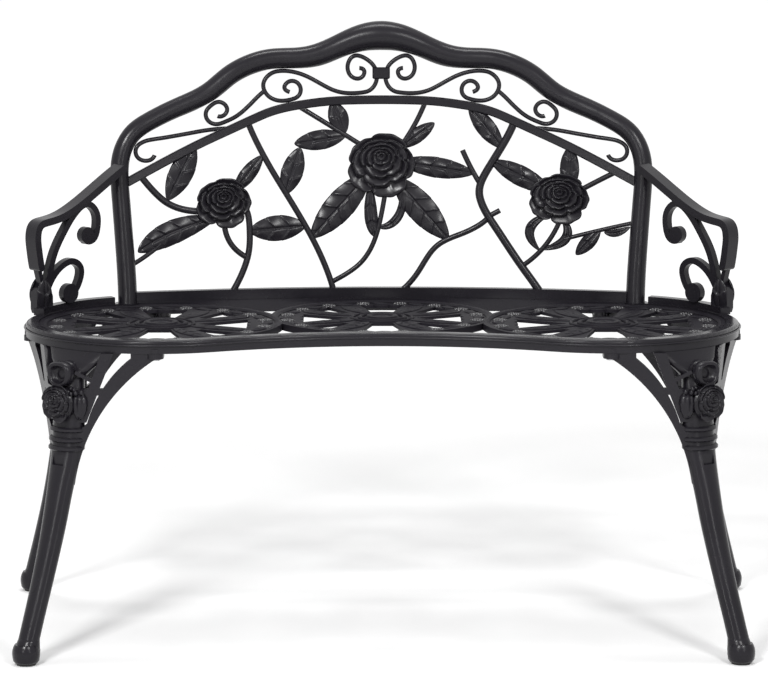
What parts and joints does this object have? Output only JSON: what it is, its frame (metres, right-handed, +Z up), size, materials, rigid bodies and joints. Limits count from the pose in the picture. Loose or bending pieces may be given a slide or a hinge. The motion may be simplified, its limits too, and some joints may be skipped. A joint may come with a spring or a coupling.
{
  "type": "garden bench",
  "caption": "Two-seat cast aluminum garden bench with a round-ended pierced seat, arched rose-and-vine back, scroll arms and curved corner legs.",
  "frame": {"origin": "on the floor, under the middle of the bench's bounding box", "axes": "+X along the bench, to the right for a viewer in front of it; -Y the way the sitter faces; +Z up"},
  "size_m": [0.9998, 0.5244, 0.785],
  "materials": {
    "coated_aluminium": "satin black powder coat",
    "glide": "matte",
    "fastener": "stainless"
  },
  "bodies": {
    "root": {"arch_rail": "coated_aluminium", "arm_bolts": "fastener", "arm_left": "coated_aluminium", "arm_right": "coated_aluminium", "arm_washers": "fastener", "back_bolts": "fastener", "back_frame": "coated_aluminium", "back_washers": "fastener", "glides_back": "glide", "glides_front": "glide", "leaves_left": "coated_aluminium", "leaves_middle": "coated_aluminium", "leaves_right": "coated_aluminium", "leg_back_left": "coated_aluminium", "leg_back_right": "coated_aluminium", "leg_bolts": "fastener", "leg_front_left": "coated_aluminium", "leg_front_right": "coated_aluminium", "leg_washers": "fastener", "lower_rail": "coated_aluminium", "medallion_left": "coated_aluminium", "medallion_middle": "coated_aluminium", "medallion_right": "coated_aluminium", "rose_left": "coated_aluminium", "rose_middle": "coated_aluminium", "rose_right": "coated_aluminium", "scroll_collar": "coated_aluminium", "scrolls_left": "coated_aluminium", "scrolls_right": "coated_aluminium", "seat_rim": "coated_aluminium", "vine_stems_left": "coated_aluminium", "vine_stems_middle": "coated_aluminium", "vine_stems_right": "coated_aluminium"}
  },
  "joints": []
}
